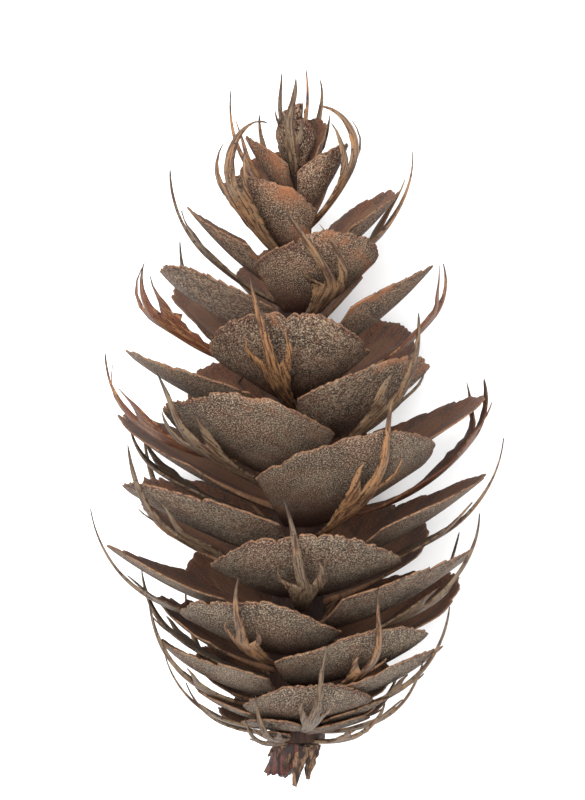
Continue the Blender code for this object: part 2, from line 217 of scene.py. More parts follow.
# The broken stalk: a stub that leans to the side, with torn strips of bark
STALK_GAP = 0.3 * MM
STALK_LENGTH, STALK_LEAN = 4.6 * MM, math.radians(-32)
STALK_TOP_RADIUS, STALK_END_RADIUS = 2.5 * MM, 1.4 * MM
STALK_SIDES, STALK_RINGS = 36, 14
STALK_FIBRES, FIBRE_AROUND, FIBRE_ALONG = 0.16, 3, 0.25 / MM  # depth, and how fine they are
BREAK_FROM = 0.9  # share of a length past which its end is torn
BREAK_SLOPE, BREAK_ROUGH, BREAK_GRAIN = 0.35, 0.9 * MM, 2.5 / MM  # of the stub's end
END_RINGS, END_RING = 3, 0.3 * MM  # rings of faces on the broken end, and their width
# Each strip: how far round the stalk its root is (degrees), its length, its own lean and
# its share of the full width. The narrow ones are shreds of bark.
STRIPS = (
    (75, 4.3 * MM, -8, 1.0),
    (20, 5.0 * MM, -12, 1.0),
    (215, 3.4 * MM, -26, 1.0),
    (-40, 2.0 * MM, -40, 0.75),
    (-75, 1.5 * MM, -52, 0.6),
    (-8, 3.2 * MM, -24, 0.6),
    (48, 2.6 * MM, -2, 0.7),
    (110, 2.2 * MM, 4, 0.6),
    (160, 2.6 * MM, -14, 0.8),
    (-120, 2.4 * MM, -44, 0.8),
)
STRIP_TEAR, TEAR_GRAIN = 0.5 * MM, 4 / MM  # how ragged their ends are
STRIP_TOP_RADIUS, STRIP_END_RADIUS = 1.15 * MM, 0.3 * MM
STRIP_FLAT = 0.6  # thickness over width
STRIP_SIDES, STRIP_RINGS = 16, 16
STRIP_LUMPS, LUMP_GRAIN = 0.45, 1.4 / MM
STRIP_BEND, BEND_GRAIN = 0.35 * MM, 0.5 / MM
STRIP_SHIFT = 30  # each reads the noise up to this far on
STRIP_BELOW = 0.25 * MM  # from the top of the stalk

# The photograph's frame, and the real size of one of its pixels at the cone
FRAME_PIXELS = (585, 800)
PIXEL = 0.12 * MM
AXIS_PIXEL, BASE_PIXEL = 297, 735  # column of the cone's axis and row of its base
CAMERA_AWAY, CAMERA_TILT = 0.40, math.radians(5)
SENSOR = 36.0

# The floor, a little below the cone, and the two lamps: their sizes and places
FLOOR_HALF, FLOOR_BELOW = 1.5, 0.05 * MM
KEY_SIZE, KEY_PLACE = 0.50, (-0.17, 0.12, 0.62)
FILL_SIZE, FILL_PLACE = 0.60, (0.40, -0.10, 0.45)

# For slopes of the surfaces: in shares of a scale's size, and along a bract
STEP, LINE_STEP = 1e-4, 0.01 * MM
# Every piece reads the noise and the grain at a place of its own
NOISE_REACH = 60
SCALE_GRAIN_APART, BRACT_GRAIN_APART = 3.7, 5.3


def picked(red, green, blue):
    """A colour picked on a 0 to 255 scale, as the shaders take it."""
    return tuple(Color((red / 255, green / 255, blue / 255)).from_srgb_to_scene_linear())


# AXIS_DARK is the dark of the axis's streaks, kept dark as painted shade for the gaps between the
# scales.
AXIS_DARK, WOOD_DARK, BARK_DARK = picked(36, 22, 16), picked(26, 12, 10), picked(34, 22, 16)
BRACT_ROUGHNESS, WOOD_ROUGHNESS, BARK_ROUGHNESS, PAPER_ROUGHNESS = 0.62, 0.5, 0.8, 0.9
WOOD_STREAKS, WOOD_GRIT, PAPER_GRAIN = 2 / MM, 4.5 / MM, 0.4 / MM
PAPER_DIPS = 0.985  # how bright the floor is between its tooth
# How deep the patterns of the materials look
SCALE_DEPTH, BRACT_DEPTH, WOOD_DEPTH, PAPER_DEPTH = 0.16 * MM, 0.12 * MM, 0.25 * MM, 0.02 * MM


def colour_setting(name, description, red, green, blue):
    return FloatVectorProperty(
        name=name,
        description=description,
        default=picked(red, green, blue),
        min=0,
        max=1,
        subtype="COLOR",
    )


def length_setting(name, description, default):
    return FloatProperty(
        name=name,
        description=description,
        default=default,
        min=0,
        subtype="DISTANCE",
        unit="LENGTH",
    )


class ScaleSettings(bpy.types.PropertyGroup):
    """Thickness, wear and colours of the woody scales"""

    claw_thick: length_setting("Claw", "Thickness of a scale at its root", 1.0 * MM)
    rim_thick: length_setting("Rim", "Thickness of a scale at its rim", 0.20 * MM)
    wave: length_setting("Wave", "How far a rim waves out of its surface", 0.5 * MM)
    worn: length_setting("Worn", "How far the rim is worn back", 0.70 * MM)
    grey: colour_setting("Weathered", "Outer face of a scale", 96, 80, 66)
    dark: colour_setting("Dark", "Dark patches of the outer face", 66, 50, 40)
    pale: colour_setting("Bloom", "Pale specks of the outer face", 152, 136, 114)
    speck: colour_setting("Specks", "Dark specks of the outer face", 20, 14, 11)
    # Besides the scale's own red-brown, this colour also paints the shade toward each scale's root.
    red: colour_setting("Heart", "Red-brown near root and rim", 98, 52, 32)
    warm: colour_setting("Warm", "Young wood near the tip", 118, 84, 63)
    orange: colour_setting("Worn corner", "Orange patches by the rim", 132, 82, 52)
    inner: colour_setting("Inner face", "Inner face of a scale", 96, 60, 40)
    wing: colour_setting("Wing", "Marks of the seeds' wings on the inner face", 126, 88, 62)
    rim: colour_setting("Rim", "The thin worn edge", 130, 98, 70)


class BractSettings(bpy.types.PropertyGroup):
    """Thickness and colours of the bracts"""

    body_thick: length_setting("Body", "Thickness of a bract's body", 0.42 * MM)
    tip_thick: length_setting("Tip", "Thickness of the awn's tip", 0.14 * MM)
    tan: colour_setting("Tan", "Light fibres", 128, 92, 60)
    brown: colour_setting("Brown", "Dark fibres", 60, 38, 26)
    grey: colour_setting("Grey", "Weathered fibres", 100, 83, 64)
    heart: colour_setting("Heart", "Red-brown of the bracts that stand off", 84, 47, 30)
    dot: colour_setting("Dots", "Small dark spots and dead tips", 30, 20, 16)


class StalkSettings(bpy.types.PropertyGroup):
    """Colours of the axis, the broken stalk and its bark"""

    # Painted shade: the axis is coloured darker than its wood, so that the gaps between the scales
    # read as shade.
    axis: colour_setting("Axis", "Wood between the scales", 52, 30, 20)
    wood: colour_setting("Wood", "Broken wood of the stalk", 80, 40, 31)
    bark: colour_setting("Bark", "Grey bark of the stalk", 112, 84, 62)


class StageSettings(bpy.types.PropertyGroup):
    """Floor and light"""

    floor: colour_setting("Floor", "The plain floor", 250, 250, 250)
    sky: FloatProperty(name="Sky", description="Strength of the even light", default=0.75, min=0)
    key: FloatProperty(
        name="Key light", description="Power of the main lamp", default=9.0, min=0, unit="POWER"
    )
    fill: FloatProperty(
        name="Fill light", description="Power of the second lamp", default=2.0, min=0, unit="POWER"
    )


def axis_radius(height):
    """Radius of the axis at this height above the base."""
    stations = np.linspace(0, AXIS_LENGTH, len(AXIS_RADII))
    return float(np.interp(height, stations, AXIS_RADII))


def growth(index):
    """Where a scale and its bract grow, and their sizes, in metres and radians."""
    draw = random.Random(SEED + index)
    chart = {name: float(np.interp(index, STATIONS, row)) for name, row in CHART.items()}
    stray = STRAYS.get(index)
    if stray is None:
        stray = {
            "turned": draw.uniform(-STRAY_TURN, STRAY_TURN),
            "opened": draw.uniform(-STRAY_OPEN, STRAY_OPEN),
            "size": 1 + draw.uniform(-STRAY_SIZE, STRAY_SIZE),
        }
    opened = stray.get("opened", 0)
    size = stray.get("size", 1)
    height = chart["height"] * MM
    trident = chart["trident"] * stray.get("bract_wide", 1)
    apart, bent = stray.get("bract_opened", 0), stray.get("bract_bent", 0)
    back = BEND_BACK * (chart["root_open"] - chart["rim_open"])
    return SimpleNamespace(
        index=index,
        azimuth=FIRST_AZIMUTH - index * DIVERGENCE + math.radians(stray.get("turned", 0)),
        height=height,
        radius=axis_radius(height) - SUNK,
        length=chart["length"] * size * MM + SUNK,
        width=chart["width"] * size * MM,
        root_open=math.radians(chart["root_open"] + opened),
        rim_open=math.radians(chart["rim_open"] + opened),
        body=chart["body"] * stray.get("bract_size", 1) * MM + SUNK,
        awn=chart["awn"] * stray.get("awn_left", 1) * MM,
        awn_open=math.radians(chart["awn_open"] + opened / 2 - stray.get("awn_bend", 0)),
        trident=trident * MM,
        lobe=chart["lobe"] * MM,
        below=BRACT_BELOW * trident,
        body_root_open=math.radians(chart["root_open"] + opened + BODY_OPENS + apart + bent),
        body_end_open=math.radians(chart["rim_open"] + opened + BODY_OPENS + apart - bent + back),
        bract_slant=math.tan(math.radians(stray.get("bract_slant", 0))),
        awn_slant=math.tan(math.radians(stray.get("awn_slant", 0))),
        awn_share=AWN_SHARE * stray.get("awn_wide", 1),
    )


def along_arc(radius, height, length, start, end, share):
    """Radius and height at a share of an arc that turns evenly from start to end."""
    turn = end - start
    here = start + turn * share
    if abs(turn) < 1e-6:
        reach = length * share
        return radius + reach * math.sin(start), height + reach * math.cos(start)
    bend = length / turn
    return (
        radius + bend * (math.cos(start) - math.cos(here)),
        height + bend * (math.sin(here) - math.sin(start)),
    )


def in_cone(azimuth, across, outward, height):
    """A point of the lying cone, from its place beside a radial line of the axis."""
    return Vector(
        (
            AXIS_SIDE + across * math.cos(azimuth) + outward * math.sin(azimuth),
            BASE_AT + height,
            AXIS_LEVEL - across * math.sin(azimuth) + outward * math.cos(azimuth),
        )
    )


def above_floor(point, least):
    """The point, or the one above it that is this high over the floor."""
    return Vector((point.x, point.y, max(point.z, least)))


def somewhere(draw):
    """A far place in the noise, drawn for one piece."""
    return Vector([draw.uniform(-NOISE_REACH, NOISE_REACH) for _ in range(3)])


def scale_point(g, across, row):
    """A point of a scale's middle surface: across is -1 to 1, row is 0 root to 1 rim."""
    slant = across * TOP_ARC
    rounding = (math.cos(slant) - math.cos(TOP_ARC)) / (1 - math.cos(TOP_ARC))
    beside = math.sin(slant) / math.sin(TOP_ARC) * g.width / 2
    beside *= CLAW_SHARE + (1 - CLAW_SHARE) * row
    share = row * (WIDEST_AT + (1 - WIDEST_AT) * rounding * row)
    radius, height = along_arc(g.radius, g.height, g.length, g.root_open, g.rim_open, share)
    cup = CUP * radius
    return in_cone(
        g.azimuth,
        cup * math.sin(beside / cup),
        radius - cup * (1 - math.cos(beside / cup)),
        height,
    )


def bract_point(g, beside, reach):
    """A point of a bract's middle surface, from its distances beside and along its line."""
    radius, height = along_arc(
        g.radius,
        g.height - g.below,
        g.body,
        g.body_root_open,
        g.body_end_open,
        min(reach / g.body, 1.0),
    )
    if reach > g.body:
        radius, height = along_arc(
            radius, height, g.awn, g.body_end_open, g.awn_open, (reach - g.body) / g.awn
        )
    past = max(0.0, reach - g.body)
    beside += g.bract_slant * reach + g.awn_slant * past**2 / (past + SLANT_BEGINS)
    return in_cone(g.azimuth, beside, radius, height)


def add_piece(name, bm, mat, node):
    """A finished piece from a bmesh, which is freed: it stands for a solid's node."""
    bmesh.ops.recalc_face_normals(bm, faces=bm.faces)
    if bm.calc_volume(signed=True) < 0:
        bmesh.ops.reverse_faces(bm, faces=bm.faces)
    mesh = bpy.data.meshes.new(name)
    bm.to_mesh(mesh)
    bm.free()
    mesh.materials.append(mat)
    mesh.shade_smooth()
    piece = bpy.data.objects.new(name, mesh)
    bpy.context.scene.collection.objects.link(piece)
    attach(piece, "root")
    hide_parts(node)


def two_faced(bm):
    """Gives a flat pattern a second face and a rim between: z is 1, 0 and -1."""
    bmesh.ops.solidify(bm, geom=bm.faces[:], thickness=2)
    middle = sum(vert.co.z for vert in bm.verts) / len(bm.verts)
    bmesh.ops.translate(bm, verts=bm.verts, vec=(0, 0, -middle))
    rungs = [e for e in bm.edges if abs(e.verts[0].co.z - e.verts[1].co.z) > 1]
    bmesh.ops.subdivide_edges(bm, edges=rungs, cuts=1, use_grid_fill=True)


class Weathering:
    """How one scale is waved and worn, drawn for each scale."""

    def __init__(self, g, settings):
        draw = random.Random(SEED * 3 + g.index)
        self.at = somewhere(draw)
        size = min(1.0, g.width / FULL_WIDTH)
        self.wave = settings.wave * size * draw.uniform(*WAVE_VARIES)
        self.worn = settings.worn * size / g.length
        self.notches = [
            (draw.uniform(*NOTCH_PLACE), draw.uniform(*NOTCH_HALF), draw.uniform(*NOTCH_DEPTH))
            for _ in range(draw.randrange(NOTCHES_LEAST, NOTCHES_STOP))
        ]

    def ripple(self, across, wave, layer):
        """A wave of the wear, at this layer of the noise."""
        fine, share = wave
        return share * noise.noise(self.at + Vector((across * fine, layer, 0)))

    def rim_loss(self, across):
        """Share of the scale's length that is gone at the rim here."""
        loss = WEAR_LEAST + self.ripple(across, SLOW_WEAR, 0) + self.ripple(across, QUICK_WEAR, 7)
        loss += abs(self.ripple(across, NIBBLES, 3)) + max(0.0, self.ripple(across, TATTERS, 5))
        loss *= self.worn
        for place, half, depth in self.notches:
            loss += depth * max(0.0, 1 - abs(across - place) / half)
        return loss

    def lift(self, across, row):
        """How far the surface stands off its smooth shape here."""
        slow, quick, ribs = (
            share * noise.noise(self.at + Vector((across * beside, row * along, layer)))
            for (beside, along, share), layer in ((SLOW_WAVE, 5), (QUICK_WAVE, 9), (RIBS, 2))
        )
        return self.wave * ((slow + quick) * row**2 + ribs * row)


def imprint(across, row):
    """How far a point of the inner face lies in the mark that a seed's wing left, 0 to 1."""
    beside = (abs(across) - WING_BESIDE) / WING_HALF
    ahead = (row - WING_MIDDLE) / WING_REACH
    return max(0.0, 1 - beside**2 - ahead**4)


def grow_scale(index, settings, mat):
    """One woody scale, as a flat pattern that is waved, worn and set into the spiral."""
    g = growth(index)
    wear = Weathering(g, settings)
    coarse = 2 if g.width < SMALL_SCALE else 1
    bm = bmesh.new()
    columns, rows = SCALE_COLUMNS // coarse, SCALE_ROWS // coarse
    bmesh.ops.create_grid(bm, x_segments=columns, y_segments=rows, size=1)
    two_faced(bm)
    inside = bm.verts.layers.float.new("inside")
    from_rim = bm.verts.layers.float.new("from_rim")
    along = bm.verts.layers.float.new("along")
    high = bm.verts.layers.float.new("high")
    wing = bm.verts.layers.float.new("wing")
    grain = bm.verts.layers.float_vector.new("grain")

    def skin(across, row):
        return scale_point(g, across, row * (1 - wear.rim_loss(across) * row**RIM_ONLY))

    for vert in bm.verts:
        across, row, side = vert.co.x, (vert.co.y + 1) / 2, vert.co.z
        point = skin(across, row)
        step_across = -STEP if across > 0 else STEP
        step_row = -STEP if row > 0.5 else STEP
        along_row = (skin(across, row + step_row) - point) / step_row
        beside_row = (skin(across + step_across, row) - point) / step_across
        out = beside_row.cross(along_row).normalized()
        to_top, to_side = (1 - row) * along_row.length, (1 - abs(across)) * beside_row.length
        thicker = (settings.claw_thick - settings.rim_thick) * (1 - row) ** THINS
        thick = settings.rim_thick + thicker
        vert[inside] = (1 - side) / 2
        vert[from_rim] = min(to_top, to_side) / MM
        vert[along] = row
        vert[high] = index / SCALE_COUNT
        vert[wing] = imprint(across, row)
        beside_mm, along_mm = across * g.width / 2 / MM, row * g.length / MM
        vert[grain] = (beside_mm, along_mm, index * SCALE_GRAIN_APART)
        placed = point + out * (wear.lift(across, row) + side * thick / 2)
        vert.co = above_floor(placed, 0.0 if side > 0 else thick)
    add_piece(f"scale_{index:02d}", bm, mat, "cone")


class Habit:
    """How one bract is twisted, bent and torn, drawn for each bract."""

    def __init__(self, g):
        draw = random.Random(SEED * 5 + g.index)
        self.at = somewhere(draw)
        self.bend = draw.uniform(-AWN_BEND, AWN_BEND)
        self.sway = draw.uniform(-AWN_SWAY, AWN_SWAY)
        self.twist = math.radians(draw.uniform(-AWN_TWIST, AWN_TWIST))
        self.keel = draw.uniform(*KEEL)
        self.lobes = (draw.uniform(*LOBE_SIZE), draw.uniform(*LOBE_SIZE))
        self.spread = (draw.uniform(*LOBE_SPREAD), draw.uniform(*LOBE_SPREAD))
        dark = g.index in DARK_BRACTS
        self.ragged = RAGGED[dark]
        weathered = LOW_TONE * (1 - g.index / SCALE_COUNT)
        self.tone = DARK_TONE if dark else draw.uniform(0, 1) + weathered

    def drift(self, g, reach):
        """How far the middle line has bent sideways here."""
        share = max(0.0, (reach - g.body) / g.awn)
        return g.awn * (self.bend * share**2 + self.sway * math.sin(share * SWAY_TURN))

    def torn(self, beside, reach):
        """The share by which the body is wider or narrower here. The lengths are in mm."""
        tear = noise.noise(self.at + Vector((beside * TEAR[0], reach * TEAR[1], 0)))
        fine = noise.noise(self.at + Vector((beside * FINE_TEAR[0], reach * FINE_TEAR[1], 6)))
        return 1 + self.ragged * (tear + FINE_TEAR_SHARE * fine)


def draw_out(bm, edges, rows):
    """Extrudes a line of edges through rows of points, the last of which may be one point."""
    for row in rows:
        made = bmesh.ops.extrude_edge_only(bm, edges=edges)["geom"]
        verts = [item for item in made if isinstance(item, bmesh.types.BMVert)]
        verts.sort(key=lambda vert: vert.co.x)
        for vert, point in zip(verts, row):
            vert.co = point
        edges = [bm.edges.get(pair) for pair in zip(verts, verts[1:])]


def bract_pattern(g, habit):
    """The flat pattern of a bract: x beside its line, y along it, in metres."""
    half = g.trident / 2
    inner = half * g.awn_share
    bm = bmesh.new()
    bmesh.ops.create_grid(bm, x_segments=BODY_COLUMNS, y_segments=BODY_ROWS, size=1)
    for vert in bm.verts:
        row = (vert.co.y + 1) / 2
        side = math.copysign(np.interp(abs(vert.co.x), (0, 1 / 3, 1), (0, inner, half)), vert.co.x)
        narrow = ROOT_SHARE + (1 - ROOT_SHARE) * row**BODY_FLARE
        torn = habit.torn(side / MM, row * g.body / MM)
        vert.co = (side * narrow * torn, row * g.body, 0)
    bm.verts.ensure_lookup_table()
    top = [e for e in bm.edges if all(v.co.y > g.body - MERGED for v in e.verts)]
    top.sort(key=lambda e: sum(v.co.x for v in e.verts))
    left, middle, right = top[:2], top[2:4], top[4:]
    for edges, side, size, spread in (
        (left, -1, habit.lobes[0], habit.spread[0]),
        (right, 1, habit.lobes[1], habit.spread[1]),
    ):
        ends = sorted({v for e in edges for v in e.verts}, key=lambda v: v.co.x)
        roots = [v.co.copy() for v in ends]
        tip = Vector((side * half * spread, g.body + g.lobe * size, 0))
        rows = []
        for step in range(1, LOBE_ROWS + 1):
            share = step / LOBE_ROWS
            bulge = side * half * LOBE_BULGE * math.sin(share * math.pi)
            rows.append([root.lerp(tip, share) + Vector((bulge, 0, 0)) for root in roots])
        draw_out(bm, edges, rows)
    rows = []
    for step in range(1, AWN_ROWS + 1):
        share = step / AWN_ROWS
        wide = inner * ((1 - AWN_TIP) * (1 - share) ** AWN_TAPER + AWN_TIP)
        wide *= 1 + AWN_RAGGED * noise.noise(habit.at + Vector((0, share * AWN_WAVES, 4)))
        if step == AWN_ROWS:
            wide = 0
        rows.append([Vector((wide * x, g.body + share * g.awn, 0)) for x in (-1, 0, 1)])
    draw_out(bm, middle, rows)
    bmesh.ops.remove_doubles(bm, verts=bm.verts, dist=MERGED)
    return bm


def grow_bract(index, settings, mat):
    """One bract: its flat pattern, made thick, keeled and twisted, and set into the spiral."""
    g = growth(index)
    habit = Habit(g)
    half = g.trident / 2
    whole = g.body + g.awn
    bm = bract_pattern(g, habit)
    two_faced(bm)
    along = bm.verts.layers.float.new("along")
    tone = bm.verts.layers.float.new("tone")
    grain = bm.verts.layers.float_vector.new("grain")
    across = in_cone(g.azimuth, 1, 0, 0) - in_cone(g.azimuth, 0, 0, 0)
    for vert in bm.verts:
        beside, reach, side = vert.co
        share = max(0.0, (reach - g.body) / g.awn)
        centre = bract_point(g, habit.drift(g, reach), reach)
        further = reach + LINE_STEP
        ahead = bract_point(g, habit.drift(g, further), further)
        line = (ahead - centre).normalized()
        out = across.cross(line).normalized()
        level = line.cross(out)
        curl = CURL * noise.noise(habit.at + Vector((0, reach / CURL_LENGTH, 8)))
        turn = Matrix.Rotation(habit.twist * share**TWIST_LATE + curl, 3, line)
        thick = settings.body_thick + (settings.tip_thick - settings.body_thick) * share
        edge = min(1.0, abs(beside) / half)
        lift = habit.keel * (half - abs(beside)) * (1 - KEEL_FADES * share)
        lift += side * thick / 2 * (1 - EDGE_THINS * edge)
        vert[along] = reach / whole
        vert[tone] = habit.tone
        vert[grain] = (beside / MM, reach / MM, index * BRACT_GRAIN_APART)
        placed = centre + turn @ (level * -beside + out * lift)
        vert.co = above_floor(placed, 0.0 if side > 0 else thick)
    add_piece(f"bract_{index:02d}", bm, mat, "cone")


def turn_axis(mat):
    """The axis, turned from its profile and roughened."""
    bm = bmesh.new()
    heights = np.linspace(AXIS_FOOT, AXIS_LENGTH, AXIS_RINGS)
    points = [(0.0, heights[0])]
    points += [(axis_radius(height), height) for height in heights]
    points += [(0.0, heights[-1])]
    verts = [bm.verts.new((radius, 0, height)) for radius, height in points]
    edges = [bm.edges.new(pair) for pair in zip(verts, verts[1:])]
    bmesh.ops.spin(
        bm,
        geom=verts + edges,
        cent=(0, 0, 0),
        axis=(0, 0, 1),
        angle=math.tau,
        steps=AXIS_SIDES,
        use_merge=True,
    )
    bmesh.ops.remove_doubles(bm, verts=bm.verts, dist=MERGED)
    for vert in bm.verts:
        rough = 1 + AXIS_ROUGH * noise.noise(vert.co * AXIS_GRAIN)
        vert.co = in_cone(0, vert.co.x * rough, vert.co.y * rough, vert.co.z)
    add_piece("axis", bm, mat, "cone")


def rod(end_radius, top_radius, length, sides, rings):
    """A tapered rod that hangs from the origin, with rings of points along it."""
    bm = bmesh.new()
    bmesh.ops.create_cone(
        bm,
        segments=sides,
        cap_ends=True,
        radius1=end_radius,
        radius2=top_radius,
        depth=length,
    )
    edges = [e for e in bm.edges if abs(e.verts[0].co.z - e.verts[1].co.z) > length / 2]
    bmesh.ops.subdivide_edges(bm, edges=edges, cuts=rings, use_grid_fill=True)
    bmesh.ops.translate(bm, verts=bm.verts, vec=(0, 0, -length / 2))
    return bm


def hang(bm, lean, across, outward, top):
    """Leans a rod over and puts it under the cone, with nothing of it above the top."""
    bmesh.ops.rotate(bm, verts=bm.verts, matrix=Matrix.Rotation(-lean, 3, "Y"))
    for vert in bm.verts:
        height = top + min(vert.co.z, 0)
        vert.co = in_cone(0, vert.co.x + across, vert.co.y + outward, height)


def break_stub(mat, top):
    """The stub of the stalk: wood with fibres along it and a rough slanting break."""
    bm = rod(STALK_END_RADIUS, STALK_TOP_RADIUS, STALK_LENGTH, STALK_SIDES, STALK_RINGS)
    ends = [f for f in bm.faces if len(f.verts) > 4]
    for _ in range(END_RINGS):
        bmesh.ops.inset_region(bm, faces=ends, thickness=END_RING)
    for vert in bm.verts:
        turn = math.atan2(vert.co.y, vert.co.x)
        around = Vector((math.cos(turn), math.sin(turn), 0)) * FIBRE_AROUND
        fibre = noise.noise(around + Vector((0, 0, vert.co.z * FIBRE_ALONG)))
        vert.co.xy *= 1 + STALK_FIBRES * fibre
        if vert.co.z < -STALK_LENGTH * BREAK_FROM:
            rough = BREAK_ROUGH * noise.noise(vert.co * BREAK_GRAIN)
            vert.co.z += BREAK_SLOPE * vert.co.x + rough
    hang(bm, STALK_LEAN, 0, 0, top)
    add_piece("stalk_wood", bm, mat, "stalk")


def tear_strip(name, mat, top, strip, shift):
    """One torn strip of bark on the stub: flat, lumpy, bent and ragged at its end."""
    around, length, lean, width = strip
    bm = rod(STRIP_END_RADIUS, STRIP_TOP_RADIUS, length, STRIP_SIDES, STRIP_RINGS)
    bmesh.ops.scale(bm, verts=bm.verts, vec=(width, STRIP_FLAT * width, 1))
    place = Vector((shift, 0, 0))
    for vert in bm.verts:
        bend = noise.noise(place + Vector((0, vert.co.z * BEND_GRAIN, 0)))
        vert.co.xy *= 1 + STRIP_LUMPS * noise.noise(vert.co * LUMP_GRAIN + place)
        vert.co.x += STRIP_BEND * bend * -vert.co.z / length
        if vert.co.z < -length * BREAK_FROM:
            vert.co.z += STRIP_TEAR * noise.noise(vert.co * TEAR_GRAIN + place)
    turn = math.radians(around)
    out = STALK_TOP_RADIUS - STRIP_TOP_RADIUS / 2
    below = top - STRIP_BELOW
    hang(bm, math.radians(lean), out * math.sin(turn), out * math.cos(turn), below)
    add_piece(name, bm, mat, "stalk")


class Recipe:
    """The nodes of one material, each added by what it does."""

    def __init__(self, name):
        self.material = bpy.data.materials.new(name)
        self.material.use_nodes = True
        self.tree = self.material.node_tree
        self.shader = self.tree.nodes["Principled BSDF"]

    def add(self, kind, inputs=(), **choices):
        """A node of this kind. Its inputs are values or other nodes' outputs, by name."""
        made = self.tree.nodes.new(kind)
        for name, choice in choices.items():
            setattr(made, name, choice)
        for name, value in dict(inputs).items():
            self.give(made.inputs[name], value)
        return made

    def give(self, socket, value):
        if isinstance(value, bpy.types.NodeSocket):
            self.tree.links.new(value, socket)
        else:
            if socket.type == "RGBA" and len(value) == 3:
                value = (*value, 1.0)
            socket.default_value = value

    def own(self, name, output="Fac"):
        """A value that the mesh carries."""
        return self.add("ShaderNodeAttribute", attribute_name=name).outputs[output]

    def place(self):
        return self.add("ShaderNodeTexCoord").outputs["Object"]

    def stretched(self, vector, stretch):
        node = self.add("ShaderNodeVectorMath", {0: vector, 1: stretch}, operation="MULTIPLY")
        return node.outputs["Vector"]

    def cloud(self, vector, scale, stretch=(1, 1, 1), detail=3, rough=0.6, swirl=0):
        """Soft noise, 0 to 1."""
        inputs = {
            "Vector": self.stretched(vector, stretch),
            "Scale": scale,
            "Detail": detail,
            "Roughness": rough,
            "Distortion": swirl,
        }
        return self.add("ShaderNodeTexNoise", inputs).outputs["Fac"]

    def dots(self, vector, scale, size):
        """1 in small round dots and 0 between them."""
        cells = self.add("ShaderNodeTexVoronoi", {"Vector": vector, "Scale": scale})
        return self.between(cells.outputs["Distance"], size, size * 0.5)

    def between(self, value, start, end):
        """0 at start and before it, 1 at end and past it, smooth in between."""
        inputs = {"Value": value, "From Min": start, "From Max": end}
        node = self.add("ShaderNodeMapRange", inputs, interpolation_type="SMOOTHSTEP")
        return node.outputs["Result"]

    def maths(self, operation, first, second):
        node = self.add("ShaderNodeMath", {0: first, 1: second}, operation=operation)
        return node.outputs["Value"]

    def plus(self, first, second):
        return self.maths("ADD", first, second)

    def times(self, first, second):
        return self.maths("MULTIPLY", first, second)

    def most(self, first, second):
        return self.maths("MAXIMUM", first, second)

    def mix(self, factor, first, second):
        """Colour between two colours."""
        node = self.add("ShaderNodeMix", data_type="RGBA")
        self.give(node.inputs[0], factor)
        self.give(node.inputs[6], first)
        self.give(node.inputs[7], second)
        return node.outputs[2]

    def finish(self, colour, roughness, height, depth):
        """Sets the shader: roughness may vary, and the height is depth metres deep."""
        self.give(self.shader.inputs["Base Color"], colour)
        self.give(self.shader.inputs["Roughness"], roughness)
        self.shader.inputs["Specular IOR Level"].default_value = 0.3
        inputs = {"Height": height, "Distance": depth, "Strength": 1.0}
        bump = self.add("ShaderNodeBump", inputs)
        self.give(self.shader.inputs["Normal"], bump.outputs["Normal"])
        return self.material


